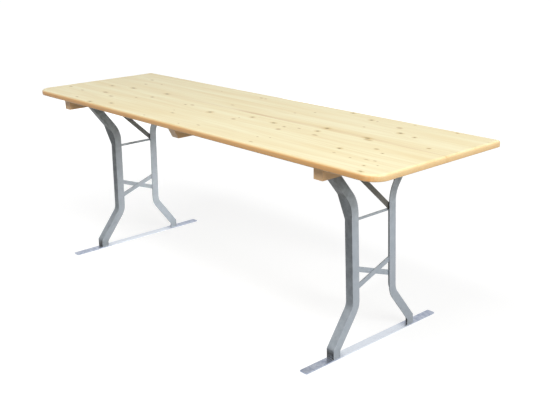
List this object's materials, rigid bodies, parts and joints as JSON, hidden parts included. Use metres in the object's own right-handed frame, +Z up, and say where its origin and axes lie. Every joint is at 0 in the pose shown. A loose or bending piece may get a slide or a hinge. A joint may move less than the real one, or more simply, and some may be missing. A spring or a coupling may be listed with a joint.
{
  "type": "folding trestle table",
  "caption": "Long folding table with a rounded-corner wooden top on bent angle-iron trestle frames that fold flat under it.",
  "frame": {"origin": "on the floor, below the middle of the top", "axes": "+X along the length of the top, +Y from the front edge to the rear edge, +Z up"},
  "size_m": [2.2, 0.728, 0.78],
  "materials": {
    "spruce_top": "clear satin lacquer",
    "spruce_batten": "clear satin lacquer",
    "grey_paint": "satin grey paint",
    "dark_steel": "dull dark grey paint",
    "galvanised_steel": "zinc plated",
    "screw_steel": "zinc plated"
  },
  "bodies": {
    "top": {"top_board_front": "spruce_top", "top_board_mid_front": "spruce_top", "top_board_mid_rear": "spruce_top", "top_board_rear": "spruce_top", "batten_left": "spruce_batten", "batten_middle": "spruce_batten", "batten_right": "spruce_batten", "axle_strap_left_front": "galvanised_steel", "axle_strap_left_rear": "galvanised_steel", "axle_strap_right_front": "galvanised_steel", "axle_strap_right_rear": "galvanised_steel", "button_post_left": "galvanised_steel", "button_post_right": "galvanised_steel"},
    "frame_left": {"leg_left_front": "grey_paint", "leg_left_rear": "grey_paint", "foot_bar_left": "galvanised_steel", "brace_rising_left": "grey_paint", "brace_falling_left": "grey_paint", "tie_rod_left": "galvanised_steel", "stay_left": "dark_steel", "axle_left": "galvanised_steel", "stop_arm_left": "galvanised_steel", "stop_pad_left": "galvanised_steel"},
    "button_left": {"turn_button_left": "galvanised_steel"},
    "frame_right": {"leg_right_front": "grey_paint", "leg_right_rear": "grey_paint", "foot_bar_right": "galvanised_steel", "brace_rising_right": "grey_paint", "brace_falling_right": "grey_paint", "tie_rod_right": "galvanised_steel", "stay_right": "dark_steel", "axle_right": "galvanised_steel", "stop_arm_right": "galvanised_steel", "stop_pad_right": "galvanised_steel"},
    "button_right": {"turn_button_right": "galvanised_steel"}
  },
  "joints": [
    {"name": "fold_left", "type": "hinge", "parent": "top", "child": "frame_left", "pos_m": [-0.78, 0, 0.731], "axis": [0, -1, 0], "range_deg": [0, 92]},
    {"name": "fold_right", "type": "hinge", "parent": "top", "child": "frame_right", "pos_m": [0.78, 0, 0.731], "axis": [0, 1, 0], "range_deg": [0, 92]},
    {"name": "turn_left", "type": "hinge", "parent": "top", "child": "button_left", "pos_m": [-0.7975, 0.011, 0.7403], "axis": [0, 0, 1], "range_deg": [0, 180]},
    {"name": "turn_right", "type": "hinge", "parent": "top", "child": "button_right", "pos_m": [0.7975, 0.011, 0.7403], "axis": [0, 0, -1], "range_deg": [0, 180]}
  ]
}
